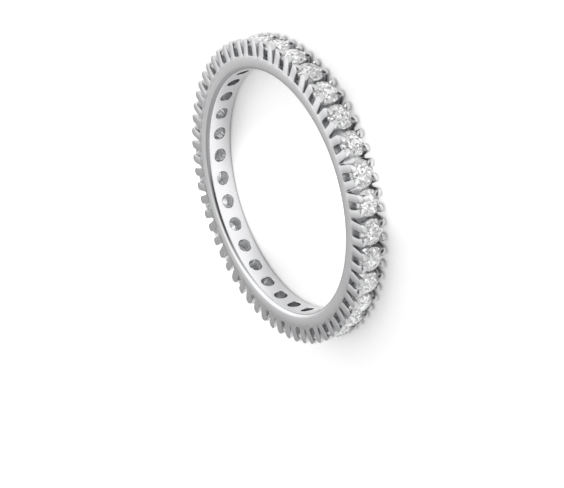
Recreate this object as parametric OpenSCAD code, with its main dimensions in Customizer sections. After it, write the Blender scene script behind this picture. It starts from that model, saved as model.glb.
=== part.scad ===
// Eternity ring: a narrow hoop with a full circle of round brilliants, four claws to a stone.
// It lies on its side. The finger hole's axis is Z, and the lowest claws touch Z = 0.

/* [Hoop] */
// Diameter of the finger hole
inner_d = 17; // [14:0.1:22]
// Thickness of the solid wall under the stones
wall_t = 0.98; // [0.8:0.02:1.4]
// How far the hoop reaches past the stones at each side
side_over = 0.11; // [0.05:0.01:0.3]
// Rounding of the two edges against the finger
edge_r = 0.2; // [0.1:0.02:0.4]
// Diameter of the hole through the wall behind each stone
light_hole_d = 0.9; // [0.7:0.05:1.1]

/* [Stones] */
// Diameter of a stone
stone_d = 1.84; // [1.6:0.02:2.2]
// Least space between neighbouring stones, which sets their number
stone_space = 0.13; // [0.11:0.01:0.4]
// Height of a stone's girdle above the wall
stone_rise = 0.72; // [0.66:0.01:0.85]
// Diameter of the table as a share of the stone's
table_share = 0.57; // [0.5:0.01:0.65]
// Height of the crown as a share of the stone's diameter
crown_share = 0.15; // [0.12:0.005:0.17]
// Height of the girdle as a share of the stone's diameter
girdle_share = 0.03; // [0.02:0.005:0.04]
// Depth of the pavilion as a share of the stone's diameter
pavilion_share = 0.43; // [0.4:0.005:0.45]
// How far the star facets reach from the table to the girdle, as a share
star_share = 0.5; // [0.4:0.01:0.6]
// How far the lower facets reach from the girdle to the culet, as a share
lower_share = 0.77; // [0.6:0.01:0.85]
// Turn of each stone about its own axis against the one before
stone_turn = 17; // [0:1:44]

/* [Claws] */
// Diameter of a claw's foot, where it leaves the wall
foot_d = 0.62; // [0.58:0.01:0.66]
// Diameter of a claw's post at its top
post_d = 0.58; // [0.52:0.01:0.6]
// Diameter of the rounding that closes the post
cap_d = 0.6; // [0.6:0.01:0.64]
// Diameter of the bead bent over the stone
bead_d = 0.5; // [0.44:0.01:0.54]
// How far the bead is bent towards the middle of the stone
bead_bend = 0.25; // [0.18:0.01:0.28]
// Width of the gap between the two claws at one side of a stone
gap_w = 0.5; // [0.44:0.01:0.56]
// Height of the claw tips above the girdle
claw_over = 0.41; // [0.38:0.01:0.6]
// How far the claw tips stand out past the side of the hoop
claw_proud = 0.02; // [0.02:0.005:0.1]
// Depth to which a claw's outer side is filed flat
claw_filed = 0.13; // [0.08:0.01:0.15]
// Depth of the claw's root in the wall
claw_root = 0.1; // [0.06:0.01:0.3]
// Set-back of a claw's foot from the side of the hoop
foot_inset = 0.01; // [0.01:0.005:0.05]
// Clearance between a stone and its seat
seat_gap = 0.04; // [0.02:0.005:0.08]

/* [Hidden] */
$fn = 64;
facet_count = 8;
facet_step = 360 / facet_count;
girdle_count = 2 * facet_count;

inner_r = inner_d / 2;
wall_r = inner_r + wall_t;
stone_r = stone_d / 2;
table_r = stone_r * table_share;
crown_h = stone_d * crown_share;
girdle_h = stone_d * girdle_share;
pavilion_h = stone_d * pavilion_share;
foot_r = foot_d / 2;
post_r = post_d / 2;
cap_r = cap_d / 2;
bead_r = bead_d / 2;
band_w = stone_d + 2 * side_over;
mid_z = band_w / 2 + claw_proud;

// Distances of the girdle and the claw tips from the hoop's axis
girdle_r = wall_r + stone_rise;
tip_r = girdle_r + claw_over;

// The stones share the circle evenly
stone_count = floor(2 * PI * girdle_r / (stone_d + stone_space));
pitch_a = 360 / stone_count;

// A claw's filed side starts flush with the hoop's, and the gap between two claws has parallel sides
foot_side = band_w / 2 - foot_inset;
foot_at = [foot_side + claw_filed - foot_r, gap_w / 2 + foot_r, wall_r];
cap_at = [mid_z + claw_filed - cap_r, gap_w / 2 + post_r, tip_r - cap_r];
flat_top = cap_at.z + sqrt(claw_filed * (2 * cap_r - claw_filed));
bead_share = 1 - bead_bend / norm([cap_at.x, cap_at.y]);
bead_at = [cap_at.x * bead_share, cap_at.y * bead_share, tip_r - bead_r];

function stone_name(i) = str("stone_", i < 10 ? "0" : "", i);

// Points of one ring of a stone's corners: the first angle, the radius and the height
function corners(count, first_a, r, z) =
    [for (k = [0 : count - 1]) let (a = first_a + k * 360 / count) [r * cos(a), r * sin(a), z]];

// Height on the crown's main facets, and on the pavilion's, midway between two corners
function crown_z(r) =
    girdle_h / 2 + crown_h * (stone_r - r * cos(facet_step / 2)) / (stone_r - table_r);
function pavilion_z(r) =
    -girdle_h / 2 - pavilion_h * (1 - r * cos(facet_step / 2) / stone_r);

star_r = table_r + (stone_r - table_r) * star_share;
lower_r = stone_r * (1 - lower_share);

stone_points = concat(
    corners(facet_count, 0, table_r, girdle_h / 2 + crown_h),
    corners(facet_count, facet_step / 2, star_r, crown_z(star_r)),
    corners(girdle_count, 0, stone_r, girdle_h / 2),
    corners(girdle_count, 0, stone_r, -girdle_h / 2),
    corners(facet_count, facet_step / 2, lower_r, pavilion_z(lower_r)),
    [[0, 0, -girdle_h / 2 - pavilion_h]]
);

// Where each ring starts in the list of points
star_at = facet_count;
top_at = star_at + facet_count;
bottom_at = top_at + girdle_count;
lower_at = bottom_at + girdle_count;
culet_at = lower_at + facet_count;

function next_of(k, count) = (k + 1) % count;
function last_of(k, count) = (k + count - 1) % count;

table_face = [[for (k = [facet_count - 1 : -1 : 0]) k]];
star_faces = [for (k = [0 : facet_count - 1]) [k, next_of(k, facet_count), star_at + k]];
kite_faces = [
    for (k = [0 : facet_count - 1])
        [k, star_at + k, top_at + 2 * k, star_at + last_of(k, facet_count)]
];
upper_faces = [
    for (j = [0 : girdle_count - 1])
        [star_at + floor(j / 2), top_at + next_of(j, girdle_count), top_at + j]
];
girdle_faces = [
    for (j = [0 : girdle_count - 1])
        [top_at + j, top_at + next_of(j, girdle_count), bottom_at + next_of(j, girdle_count), bottom_at + j]
];
lower_faces = [
    for (j = [0 : girdle_count - 1])
        [lower_at + floor(j / 2), bottom_at + j, bottom_at + next_of(j, girdle_count)]
];
main_faces = [
    for (k = [0 : facet_count - 1])
        [culet_at, lower_at + last_of(k, facet_count), bottom_at + 2 * k, lower_at + k]
];
stone_faces = concat(
    table_face, star_faces, kite_faces, upper_faces, girdle_faces, lower_faces, main_faces
);

// Stands a child on the hoop with its own axis pointing away from the hoop's
module at_stone(i) {
    rotate([0, 0, i * pitch_a])
        translate([0, 0, mid_z])
            rotate([0, 90, 0])
                children();
}

// Cuts the square corner outside the rounding of an inner edge
module edge_cut() {
    difference() {
        translate([-edge_r, -edge_r])
            square(2 * edge_r);
        translate([edge_r, edge_r])
            circle(edge_r);
    }
}

// Solid wall of the hoop, with its edges against the finger rounded
module hoop() {
    translate([0, 0, mid_z])
        rotate_extrude()
            translate([inner_r, -band_w / 2])
                difference() {
                    square([wall_t, band_w]);
                    edge_cut();
                    translate([0, band_w])
                        mirror([0, 1])
                            edge_cut();
                }
}

// Turns a child's axis along the given direction
module along(way) {
    rotate([0, acos(way.z / norm(way)), atan2(way.y, way.x)])
        children();
}

// One claw: a tapered round post, the rounding on its top and the bead bent over the stone
module claw() {
    way = cap_at - foot_at;
    translate(foot_at)
        along(way)
            translate([0, 0, -claw_root])
                cylinder(h = claw_root + norm(way), r1 = foot_r, r2 = post_r);
    translate(cap_at)
        sphere(r = cap_r);
    translate(bead_at)
        sphere(r = bead_r);
}

// Space between the two planes that the claws' outer sides are filed to
module filed_width() {
    low_z = wall_r - 2 * claw_root;
    high_z = tip_r + claw_root;
    lean = (mid_z - foot_side) / (flat_top - wall_r);
    low_x = foot_side + lean * (low_z - wall_r);
    high_x = foot_side + lean * (high_z - wall_r);
    rotate([90, 0, 0])
        linear_extrude(height = 2 * stone_d, center = true)
            polygon([[-low_x, low_z], [low_x, low_z], [high_x, high_z], [-high_x, high_z]]);
}

module four_claws() {
    for (side = [0, 1], end = [0, 1])
        mirror([side, 0, 0])
            mirror([0, end, 0])
                claw();
}

// Room for one stone, its outline grown by the clearance
module seat() {
    grow_h = seat_gap * pavilion_h / stone_r;
    top_z = girdle_h / 2 + crown_h + seat_gap;
    translate([0, 0, girdle_r])
        rotate_extrude()
            polygon([
                [0, -girdle_h / 2 - pavilion_h - grow_h],
                [stone_r + seat_gap, -girdle_h / 2],
                [stone_r + seat_gap, girdle_h / 2],
                [star_r + seat_gap, crown_z(star_r)],
                [table_r + seat_gap, top_z],
                [0, top_z]
            ]);
}

// Hole through the wall behind a stone, cut from inside the finger hole to past the wall
module light_hole() {
    translate([0, 0, inner_r - wall_t])
        cylinder(h = 3 * wall_t, d = light_hole_d);
}

// Four claws filed flat outside, with the stone's seat cut into them
module setting() {
    difference() {
        intersection() {
            four_claws();
            filed_width();
        }
        seat();
    }
}

// Hoop and claws are one piece of metal
module band() {
    color("gainsboro") {
        difference() {
            hoop();
            for (i = [1 : stone_count])
                at_stone(i)
                    light_hole();
        }
        for (i = [1 : stone_count])
            at_stone(i)
                setting();
    }
}

// Round brilliant, its table facing out
module stone(i) {
    color("aliceblue")
        at_stone(i)
            translate([0, 0, girdle_r])
                rotate([0, 0, i * stone_turn])
                    polyhedron(points = stone_points, faces = stone_faces);
}

band();
for (i = [1 : stone_count])
    stone(i);
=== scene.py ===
import math

import bmesh
import bpy
from mathutils import Matrix, Vector


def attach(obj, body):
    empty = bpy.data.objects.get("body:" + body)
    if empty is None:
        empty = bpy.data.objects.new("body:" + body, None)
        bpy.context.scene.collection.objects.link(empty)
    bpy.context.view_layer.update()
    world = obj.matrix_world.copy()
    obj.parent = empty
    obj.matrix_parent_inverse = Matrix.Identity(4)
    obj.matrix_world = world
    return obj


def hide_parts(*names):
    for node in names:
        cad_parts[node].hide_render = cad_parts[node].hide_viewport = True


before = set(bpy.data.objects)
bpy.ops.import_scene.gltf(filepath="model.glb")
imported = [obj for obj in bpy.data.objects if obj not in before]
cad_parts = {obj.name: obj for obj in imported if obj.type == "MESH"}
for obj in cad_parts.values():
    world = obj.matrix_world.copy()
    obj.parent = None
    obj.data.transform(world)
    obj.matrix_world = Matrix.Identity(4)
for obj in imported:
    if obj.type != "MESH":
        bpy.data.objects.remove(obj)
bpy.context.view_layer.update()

# sizes are in millimetres here and are scaled to metres when a piece is finished
mm = 0.001
# points nearer than this are merged, and drills and cutters reach this far past what they cut
touching = 1e-4
past = 1

# the ring's main sizes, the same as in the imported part
ring = {
    "innerR": 8.5,
    "wallR": 9.48,
    "width": 2.06,
    "midZ": 1.05,
    "stoneCount": 32,
    "girdleR": 10.2,
    "tipR": 10.61,
}
halfWidth = ring["width"] / 2
pitch = 2 * math.pi / ring["stoneCount"]


def toLinear(hexColour):
    parts = [int(hexColour[i:i + 2], 16) / 255 for i in (1, 3, 5)]
    return tuple(c / 12.92 if c <= 0.04045 else ((c + 0.055) / 1.055) ** 2.4 for c in parts) + (1,)


# adds a node, sets its properties and socket values, and links sockets into it
def addNode(tree, kind, settings=None, links=None):
    node = tree.nodes.new(kind)
    for name, value in (settings or {}).items():
        if isinstance(name, str) and hasattr(node, name):
            setattr(node, name, value)
        else:
            node.inputs[name].default_value = value
    for name, socket in (links or {}).items():
        tree.links.new(socket, node.inputs[name])
    return node


def newMaterial(name):
    material = bpy.data.materials.new(name)
    material.use_nodes = True
    tree = material.node_tree
    tree.nodes.clear()
    return material, tree


# turns a finished bmesh into an object in metres, smooth except at sharp edges
def newPiece(name, bm, material, sharpAngle=35):
    bmesh.ops.scale(bm, vec=(mm, mm, mm), verts=bm.verts)
    mesh = bpy.data.meshes.new(name)
    bm.to_mesh(mesh)
    bm.free()
    mesh.polygons.foreach_set("use_smooth", [True] * len(mesh.polygons))
    mesh.set_sharp_from_angle(angle=math.radians(sharpAngle))
    piece = bpy.data.objects.new(name, mesh)
    bpy.context.scene.collection.objects.link(piece)
    if material:
        piece.data.materials.append(material)
    return piece


# spins an open line of points round the Z axis
def lathe(points, steps):
    bm = bmesh.new()
    verts = [bm.verts.new(p) for p in points]
    edges = [bm.edges.new(pair) for pair in zip(verts, verts[1:])]
    bmesh.ops.spin(bm, geom=verts + edges, axis=(0, 0, 1), cent=(0, 0, 0), angle=2 * math.pi,
                   steps=steps, use_merge=True)
    bmesh.ops.remove_doubles(bm, verts=bm.verts, dist=touching)
    bmesh.ops.recalc_face_normals(bm, faces=bm.faces)
    return bm


# repeats what a bmesh holds once for every stone
def repeatRound(bm):
    geom = bm.verts[:] + bm.edges[:] + bm.faces[:]
    bmesh.ops.spin(bm, geom=geom, axis=(0, 0, 1), cent=(0, 0, 0), angle=2 * math.pi - pitch,
                   steps=ring["stoneCount"] - 1, use_duplicate=True)


# cuts one bmesh out of another with a Boolean modifier, and gives the result as a new bmesh
def cutOut(bm, cutter):
    body = newPiece("body", bm, None)
    tool = newPiece("tool", cutter, None)
    modifier = body.modifiers.new("cut", "BOOLEAN")
    modifier.operation = "DIFFERENCE"
    modifier.solver = "EXACT"
    modifier.object = tool
    bpy.context.view_layer.update()
    evaluated = body.evaluated_get(bpy.context.evaluated_depsgraph_get())
    result = bmesh.new()
    result.from_mesh(evaluated.to_mesh())
    evaluated.to_mesh_clear()
    for used in (body, tool):
        mesh = used.data
        bpy.data.objects.remove(used)
        bpy.data.meshes.remove(mesh)
    bmesh.ops.scale(result, vec=(1 / mm, 1 / mm, 1 / mm), verts=result.verts)
    return result


# from a stone's own axes to the hoop's: its Z points out along X, its X points down the finger
stoneToHoop = Matrix.Translation((0, 0, ring["midZ"])) @ Matrix.Rotation(math.pi / 2, 4, "Y")


# rhodium plated 18 carat white gold, cast, filed and polished by hand
# cool light grey, mirror-like but softened by fine polishing lines and a slight waviness
# real polishing lines are finer than these, which are drawn coarse enough to show
# seats, slits, corners and spots close to the stones or the table are darkened with painted shade
metalLook = {
    "colour": "#DADADB",
    "worn": "#CECED0",
    "roughness": 0.2,
    "roughest": 0.24,
    "corner": "#6A6A6B",
    "cornerMm": 0.6,
    "cornerOpen": 0.8,
    "cornerSamples": 16,
    "wavesMm": 1.4,
    "waveHeightMm": 0.02,
    "waveStrength": 0.1,
    "linesMm": 0.09,
    "lineRange": (0.35, 0.7),
    "lineHeightMm": 0.001,
    "lineStrength": 0.02,
}


def polishedWhiteGold():
    material, tree = newMaterial("polished_white_gold")
    place = addNode(tree, "ShaderNodeTexCoord")
    waves = addNode(tree, "ShaderNodeTexNoise", {"Scale": 1 / (metalLook["wavesMm"] * mm), "Detail": 2.0},
                    {"Vector": place.outputs["Object"]})
    lines = addNode(tree, "ShaderNodeTexNoise", {"Scale": 1 / (metalLook["linesMm"] * mm), "Detail": 4.0},
                    {"Vector": place.outputs["Object"]})
    faint, strong = metalLook["lineRange"]
    gloss = addNode(tree, "ShaderNodeMapRange",
                    {"From Min": faint, "From Max": strong, "To Min": metalLook["roughness"],
                     "To Max": metalLook["roughest"]},
                    {"Value": lines.outputs["Fac"]})
    colour = addNode(tree, "ShaderNodeMix", {"data_type": "RGBA", 6: toLinear(metalLook["colour"]),
                                             7: toLinear(metalLook["worn"])},
                     {0: waves.outputs["Fac"]})
    low = addNode(tree, "ShaderNodeBump",
                  {"Strength": metalLook["waveStrength"], "Distance": metalLook["waveHeightMm"] * mm},
                  {"Height": waves.outputs["Fac"]})
    fine = addNode(tree, "ShaderNodeBump",
                   {"Strength": metalLook["lineStrength"], "Distance": metalLook["lineHeightMm"] * mm},
                   {"Height": lines.outputs["Fac"], "Normal": low.outputs["Normal"]})
    # painted shade: ambient occlusion darkens the colour towards the painted shade colour wherever other
    # surfaces are close
    nearby = addNode(tree, "ShaderNodeAmbientOcclusion",
                     {"samples": metalLook["cornerSamples"], "Distance": metalLook["cornerMm"] * mm})
    unshadedShare = addNode(tree, "ShaderNodeMapRange", {"From Max": metalLook["cornerOpen"]},
                      {"Value": nearby.outputs["AO"]})
    shadedColour = addNode(tree, "ShaderNodeMix", {"data_type": "RGBA", 6: toLinear(metalLook["corner"])},
                     {0: unshadedShare.outputs["Result"], 7: colour.outputs[2]})
    shader = addNode(tree, "ShaderNodeBsdfPrincipled", {"Metallic": 1.0},
                     {"Base Color": shadedColour.outputs[2], "Roughness": gloss.outputs["Result"],
                      "Normal": fine.outputs["Normal"]})
    addNode(tree, "ShaderNodeOutputMaterial", {}, {"Surface": shader.outputs["BSDF"]})
    return material


# colourless diamond, cut as a round brilliant and polished
# clear with a very high index; the light thrown back by its inner facets is a painted reflection, a mosaic of
# small mirrors tilted at random with painted bright and dark flashes
stoneLook = {
    "colour": "#FAFCFF",
    "ior": 2.42,
    "paintedFlashBright": "#FFFFFF",
    "paintedFlashDark": "#7A7A79",
    "pavilionMirrors": 0.25,
    "crownMirrors": 0.6,
    "flashMm": 0.15,
    "flashTilt": 1.4,
    "paintedLeakGlow": 0.42,
    "paintedCrownGlow": 0.52,
    "fadeMm": 0.1,
    "mirrorRoughness": 0.08,
}


def cutDiamond():
    material, tree = newMaterial("cut_diamond")
    place = addNode(tree, "ShaderNodeTexCoord")
    surface = addNode(tree, "ShaderNodeNewGeometry")
    flashes = addNode(tree, "ShaderNodeTexVoronoi", {"Scale": 1 / (stoneLook["flashMm"] * mm)},
                      {"Vector": place.outputs["Object"]})
    centred = addNode(tree, "ShaderNodeVectorMath", {"operation": "SUBTRACT", 1: (0.5, 0.5, 0.5)},
                      {0: flashes.outputs["Color"]})
    tilt = addNode(tree, "ShaderNodeVectorMath", {"operation": "SCALE", "Scale": stoneLook["flashTilt"]},
                   {0: centred.outputs["Vector"]})
    turned = addNode(tree, "ShaderNodeVectorMath", {"operation": "ADD"},
                     {0: surface.outputs["Normal"], 1: tilt.outputs["Vector"]})
    facing = addNode(tree, "ShaderNodeVectorMath", {"operation": "NORMALIZE"}, {0: turned.outputs["Vector"]})
    share = addNode(tree, "ShaderNodeSeparateColor", {}, {"Color": flashes.outputs["Color"]})
    # painted reflection: each small mirror is given a bright or dark colour at random
    paintedFlashTone = addNode(tree, "ShaderNodeMix", {"data_type": "RGBA", 6: toLinear(stoneLook["paintedFlashDark"]),
                                           7: toLinear(stoneLook["paintedFlashBright"])},
                   {0: share.outputs["Green"]})
    # painted light: the stones glow though they are no lamp, strongly above the girdle in the crown and a
    # little below it
    flat = addNode(tree, "ShaderNodeVectorMath", {"operation": "MULTIPLY", 1: (1, 1, 0)},
                   {0: place.outputs["Object"]})
    radius = addNode(tree, "ShaderNodeVectorMath", {"operation": "LENGTH"}, {0: flat.outputs["Vector"]})
    above = addNode(tree, "ShaderNodeMapRange",
                    {"From Min": (ring["girdleR"] - stoneLook["fadeMm"]) * mm,
                     "From Max": (ring["girdleR"] + stoneLook["fadeMm"]) * mm},
                    {"Value": radius.outputs["Value"]})
    # painted light: how strongly the stones glow, from below the girdle up to the crown
    glow = addNode(tree, "ShaderNodeMix",
                   {"data_type": "FLOAT", 2: stoneLook["paintedLeakGlow"], 3: stoneLook["paintedCrownGlow"]},
                   {0: above.outputs["Result"]})
    mirrorShare = addNode(tree, "ShaderNodeMix",
                          {"data_type": "FLOAT", 2: stoneLook["pavilionMirrors"],
                           3: stoneLook["crownMirrors"]},
                          {0: above.outputs["Result"]})
    clear = addNode(tree, "ShaderNodeBsdfPrincipled",
                    {"Base Color": toLinear(stoneLook["colour"]), "Transmission Weight": 1.0,
                     "IOR": stoneLook["ior"], "Roughness": 0.0})
    mirrors = addNode(tree, "ShaderNodeBsdfPrincipled",
                      {"Metallic": 1.0, "Roughness": stoneLook["mirrorRoughness"]},
                      {"Base Color": paintedFlashTone.outputs[2], "Emission Color": paintedFlashTone.outputs[2],
                       "Emission Strength": glow.outputs[0], "Normal": facing.outputs["Vector"]})
    mixed = addNode(tree, "ShaderNodeMixShader", {},
                    {0: mirrorShare.outputs[0], 1: clear.outputs["BSDF"], 2: mirrors.outputs["BSDF"]})
    addNode(tree, "ShaderNodeOutputMaterial", {}, {"Surface": mixed.outputs["Shader"]})
    return material


whiteGold = polishedWhiteGold()
diamond = cutDiamond()
print("materials made")

# hoop: the solid wall with rounded edges and a light hole behind each stone
hoop = {
    "innerRound": 0.27,
    "outerRound": 0.05,
    "roundSteps": 6,
    "steps": 384,
    "holeR": 0.45,
    "holeEdge": 0.035,
    "holeSag": 0.012,
    "holeSteps": 40,
}


def makeHoop():
    bm = bmesh.new()
    corners = [(ring["innerR"], -halfWidth), (ring["wallR"], -halfWidth),
               (ring["wallR"], halfWidth), (ring["innerR"], halfWidth)]
    verts = [bm.verts.new((r, 0, ring["midZ"] + z)) for r, z in corners]
    bm.faces.new(verts)
    for group, size in ((verts[::3], hoop["innerRound"]), (verts[1:3], hoop["outerRound"])):
        bmesh.ops.bevel(bm, geom=group, offset=size, offset_type="OFFSET", affect="VERTICES",
                        segments=hoop["roundSteps"], profile=0.5, material=-1)
    bmesh.ops.delete(bm, geom=bm.faces[:], context="FACES_ONLY")
    bmesh.ops.spin(bm, geom=bm.verts[:] + bm.edges[:], axis=(0, 0, 1), cent=(0, 0, 0),
                   angle=2 * math.pi, steps=hoop["steps"], use_merge=True)
    bmesh.ops.remove_doubles(bm, verts=bm.verts, dist=touching)
    bmesh.ops.recalc_face_normals(bm, faces=bm.faces)

    # the hollow wall sags away from the hole's edge, so the chamfer starts a little inside it
    hole, edge = hoop["holeR"], hoop["holeEdge"]
    inside, outside = ring["innerR"] - past, ring["wallR"] + past
    outline = [(0, 0, inside), (hole + edge, 0, inside),
               (hole + edge, 0, ring["innerR"] - hoop["holeSag"]), (hole, 0, ring["innerR"] + edge),
               (hole, 0, outside), (0, 0, outside)]
    drill = lathe(outline, hoop["holeSteps"])
    bmesh.ops.transform(drill, matrix=stoneToHoop, verts=drill.verts)
    repeatRound(drill)
    return cutOut(bm, drill)


# claws: posts filed flush with the side of the hoop, their round tips bent over the stone
claw = {
    "footR": 0.31,
    "postR": 0.29,
    "capR": 0.3,
    "beadR": 0.25,
    "beadBend": 0.25,
    "gap": 0.5,
    "proud": 0.02,
    "filed": 0.13,
    "fileLean": 0.09,
    "edgeRound": 0.06,
    "edgeSteps": 3,
    "rootDepth": 0.2,
    "flare": 0.05,
    "flareHeight": 0.05,
    "heights": (0, 0.02, 0.045, 0.08, 0.13, 0.2, 0.4, 0.6),
    "tipFrom": -22.5,
    "tipStep": 7.5,
    "around": 24,
}
# the stone's outline that the seat follows, and its clearance
seat = {
    "stoneR": 0.92,
    "starR": 0.7222,
    "starHeight": 0.204,
    "tableR": 0.5244,
    "crown": 0.276,
    "girdle": 0.0552,
    "pavilion": 0.7912,
    "clearance": 0.04,
    "steps": 64,
}


def makeClaws():
    capX = halfWidth + claw["proud"] + claw["filed"] - claw["capR"]
    capY = claw["gap"] / 2 + claw["postR"]
    capZ = ring["tipR"] - claw["capR"]
    beadZ = ring["tipR"] - claw["beadR"]
    inward = -Vector((capX, capY, 0)).normalized()
    turn = math.atan2(inward.y, inward.x)
    postHeight = capZ - ring["wallR"]
    tiny = touching / 10

    # each ring of the claw: its centre, its half length towards the stone and its half width
    rings = []
    for h in (-claw["rootDepth"],) + claw["heights"]:
        share = max(h, 0) / postHeight
        flare = claw["flare"] * math.exp(-max(h, 0) / claw["flareHeight"])
        r = claw["footR"] + (claw["postR"] - claw["footR"]) * share
        x = halfWidth + claw["filed"] - r
        rings.append((Vector((x, claw["gap"] / 2 + r, ring["wallR"] + h)), r + flare, r + flare))
    firstStep, lastStep = round(claw["tipFrom"] / claw["tipStep"]), round(90 / claw["tipStep"])
    for k in range(firstStep, lastStep + 1):
        angle = math.radians(claw["tipStep"] * k)
        z = capZ + claw["capR"] * math.sin(angle)
        capSlice = claw["capR"] * math.cos(angle) if k > 0 else claw["capR"]
        beadSlice = math.sqrt(max(claw["beadR"] ** 2 - (z - beadZ) ** 2, 0))
        outer = capSlice
        inner = max(capSlice, claw["beadBend"] + beadSlice)
        centre = Vector((capX, capY, z)) + inward * (inner - outer) / 2
        rings.append((centre, max((inner + outer) / 2, tiny), max(capSlice, beadSlice, tiny)))

    def ringMatrix(centre, length, width):
        return (Matrix.Translation(centre) @ Matrix.Rotation(turn, 4, "Z")
                @ Matrix.Diagonal((length, width, 1, 1)))

    bm = bmesh.new()
    last = ringMatrix(*rings[0])
    loop = bmesh.ops.create_circle(bm, cap_ends=True, segments=claw["around"], radius=1, matrix=last)["verts"]
    for values in rings[1:]:
        edges = list({e for v in loop for e in v.link_edges if e.other_vert(v) in loop})
        grown = bmesh.ops.extrude_edge_only(bm, edges=edges)["geom"]
        loop = [v for v in grown if isinstance(v, bmesh.types.BMVert)]
        target = ringMatrix(*values)
        bmesh.ops.transform(bm, matrix=target @ last.inverted(), verts=loop)
        last = target
    bmesh.ops.remove_doubles(bm, verts=bm.verts, dist=touching)

    # the file's plane starts at the rim's edge rounding and leans in a little towards the tips
    rimEdge = ring["wallR"] - hoop["outerRound"]
    slope = claw["fileLean"] / (ring["tipR"] - rimEdge)
    bmesh.ops.bisect_plane(bm, geom=bm.verts[:] + bm.edges[:] + bm.faces[:], dist=tiny,
                           plane_co=(halfWidth, 0, rimEdge), plane_no=(1, 0, slope), clear_outer=True)
    flats = bmesh.ops.holes_fill(bm, edges=[e for e in bm.edges if e.is_boundary])["faces"]
    bmesh.ops.recalc_face_normals(bm, faces=bm.faces)
    rounded = [e for face in flats for e in face.edges if min(v.co.z for v in e.verts) > rimEdge]
    bmesh.ops.bevel(bm, geom=rounded, offset=claw["edgeRound"], offset_type="OFFSET", affect="EDGES",
                    segments=claw["edgeSteps"], profile=0.5, material=-1, clamp_overlap=True)

    gap = seat["clearance"]
    z = ring["girdleR"]
    half = seat["girdle"] / 2
    top = z + half + seat["crown"] + gap
    outline = [(0, 0, z - half - seat["pavilion"] * (1 + gap / seat["stoneR"])),
               (seat["stoneR"] + gap, 0, z - half), (seat["stoneR"] + gap, 0, z + half),
               (seat["starR"] + gap, 0, z + seat["starHeight"]), (seat["tableR"] + gap, 0, top), (0, 0, top)]
    bm = cutOut(bm, lathe(outline, seat["steps"]))

    for axis in ("X", "Y"):
        geom = bm.verts[:] + bm.edges[:] + bm.faces[:]
        bmesh.ops.mirror(bm, geom=geom, matrix=Matrix.Identity(4), merge_dist=-1, axis=axis)
    bmesh.ops.transform(bm, matrix=stoneToHoop, verts=bm.verts)
    repeatRound(bm)
    bmesh.ops.recalc_face_normals(bm, faces=bm.faces)
    return bm


band = makeHoop()
print("hoop made,", len(band.faces), "faces")
claws = makeClaws()
print("claws made,", len(claws.faces), "faces")
clawMesh = bpy.data.meshes.new("claws")
claws.to_mesh(clawMesh)
claws.free()
band.from_mesh(clawMesh)
bpy.data.meshes.remove(clawMesh)
bandPiece = newPiece("white_gold_band", band, whiteGold)
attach(bandPiece, "root")
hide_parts("band")
print("band made")

# stones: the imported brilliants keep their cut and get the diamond's material
for name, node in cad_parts.items():
    if name.startswith("stone_"):
        node.data.materials.clear()
        node.data.materials.append(diamond)
print("stones dressed")

# floor: a plain matte white table that glows a little all over, and more in a painted strip of light across
# the middle
floorLook = {
    "radius": 600,
    "colour": "#F6F6F6",
    "glow": 0.36,
    "paintedStripGlow": 0.85,
    "paintedStripMm": 5.5,
    "roughness": 0.9,
    "grainMm": 0.6,
    "grainHeightMm": 0.02,
    "grainStrength": 0.05,
    "steps": 96,
}


def mattePaint():
    material, tree = newMaterial("matte_white_table")
    place = addNode(tree, "ShaderNodeTexCoord")
    grain = addNode(tree, "ShaderNodeTexNoise", {"Scale": 1 / (floorLook["grainMm"] * mm)},
                    {"Vector": place.outputs["Object"]})
    bump = addNode(tree, "ShaderNodeBump",
                   {"Strength": floorLook["grainStrength"], "Distance": floorLook["grainHeightMm"] * mm},
                   {"Height": grain.outputs["Fac"]})
    # painted light: the table glows more in a broad strip across the middle, with no lamp under it
    across = addNode(tree, "ShaderNodeSeparateXYZ", {}, {"Vector": place.outputs["Object"]})
    side = addNode(tree, "ShaderNodeMath", {"operation": "ABSOLUTE"}, {0: across.outputs["X"]})
    paintedStrip = addNode(tree, "ShaderNodeMapRange",
                   {"interpolation_type": "SMOOTHSTEP", "From Max": floorLook["paintedStripMm"] * mm,
                    "To Min": floorLook["paintedStripGlow"], "To Max": floorLook["glow"]},
                   {"Value": side.outputs["Value"]})
    shader = addNode(tree, "ShaderNodeBsdfPrincipled",
                     {"Base Color": toLinear(floorLook["colour"]), "Roughness": floorLook["roughness"],
                      "Emission Color": toLinear("#FFFFFF")},
                     {"Emission Strength": paintedStrip.outputs["Result"], "Normal": bump.outputs["Normal"]})
    addNode(tree, "ShaderNodeOutputMaterial", {}, {"Surface": shader.outputs["BSDF"]})
    return material


table = bmesh.new()
bmesh.ops.create_circle(table, cap_ends=True, segments=floorLook["steps"], radius=floorLook["radius"])
newPiece("table", table, mattePaint())

# studio: a grey tent with one broad soft light, and a pale card round the dark lens
# directions are the turn round the ring from the camera's side and the height, in degrees
# the wall fades into the top between two heights of a sky one unit high
studio = {
    "wall": 0.5,
    "top": 0.42,
    "fade": (0.5, 0.95),
    "light": 1.5,
    "lightFrom": (118, 42),
    "lightEdge": (60, 28),
    "card": 0.55,
    "cardFrom": (0, 10),
    "cardEdge": (75, 50),
    "camera": 0.06,
    "cameraFrom": (3, 29),
    "cameraEdge": (40, 20),
}


def towards(turn, height):
    turn, height = math.radians(turn), math.radians(height)
    return Vector((math.cos(height) * math.sin(turn), -math.cos(height) * math.cos(turn), math.sin(height)))


world = bpy.data.worlds.new("studio")
bpy.context.scene.world = world
world.use_nodes = True
tree = world.node_tree
tree.nodes.clear()
sky = addNode(tree, "ShaderNodeTexCoord")


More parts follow.
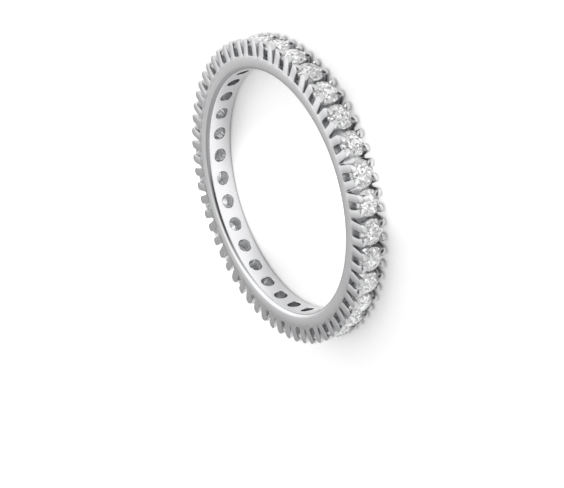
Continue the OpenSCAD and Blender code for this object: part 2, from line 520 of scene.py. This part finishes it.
# a soft-edged round patch of the sky: 0 outside its edge and 1 inside it
def skyPatch(centre, edge):
    near = addNode(tree, "ShaderNodeVectorMath", {"operation": "DOT_PRODUCT", 1: towards(*centre)},
                   {0: sky.outputs["Generated"]})
    outside, inside = (math.cos(math.radians(angle)) for angle in edge)
    patch = addNode(tree, "ShaderNodeMapRange",
                    {"interpolation_type": "SMOOTHSTEP", "From Min": outside, "From Max": inside},
                    {"Value": near.outputs["Value"]})
    return patch.outputs["Result"]


height = addNode(tree, "ShaderNodeSeparateXYZ", {}, {"Vector": sky.outputs["Generated"]})
wallEnd, topStart = studio["fade"]
tent = addNode(tree, "ShaderNodeMapRange",
               {"interpolation_type": "SMOOTHSTEP", "From Min": wallEnd, "From Max": topStart,
                "To Min": studio["wall"], "To Max": studio["top"]},
               {"Value": height.outputs["Z"]})
lit = addNode(tree, "ShaderNodeMix", {"data_type": "FLOAT", 3: studio["light"]},
              {0: skyPatch(studio["lightFrom"], studio["lightEdge"]), 2: tent.outputs["Result"]})
carded = addNode(tree, "ShaderNodeMix", {"data_type": "FLOAT", 3: studio["card"]},
                 {0: skyPatch(studio["cardFrom"], studio["cardEdge"]), 2: lit.outputs[0]})
dimmed = addNode(tree, "ShaderNodeMix", {"data_type": "FLOAT", 3: studio["camera"]},
                 {0: skyPatch(studio["cameraFrom"], studio["cameraEdge"]), 2: carded.outputs[0]})
glow = addNode(tree, "ShaderNodeBackground", {"Color": toLinear("#FFFFFF")}, {"Strength": dimmed.outputs[0]})
addNode(tree, "ShaderNodeOutputWorld", {}, {"Surface": glow.outputs["Background"]})
print("studio lit")

# camera: stands to the side of the ring above the table and is rolled, so that the ring looks upright
view = {
    "turn": 3.09,
    "height": 28.94,
    "roll": 106.77,
    "distance": 245.66,
    "right": -0.311,
    "up": -3.725,
    "lens": 231.96,
    "sensor": 36,
    "nearest": 1,
}
camera = bpy.data.objects.new("camera", bpy.data.cameras.new("camera"))
camera.data.lens = view["lens"]
camera.data.sensor_width = view["sensor"]
camera.data.clip_start = view["nearest"] * mm
camera.matrix_world = (
    Matrix.Translation((0, 0, ring["midZ"] * mm))
    @ Matrix.Rotation(math.radians(view["turn"]), 4, "Z")
    @ Matrix.Rotation(math.radians(90 - view["height"]), 4, "X")
    @ Matrix.Rotation(math.radians(-view["roll"]), 4, "Z")
    @ Matrix.Translation((view["right"] * mm, view["up"] * mm, view["distance"] * mm))
)
bpy.context.scene.collection.objects.link(camera)
bpy.context.scene.camera = camera
bpy.context.scene.view_settings.view_transform = "Standard"
print("camera placed")
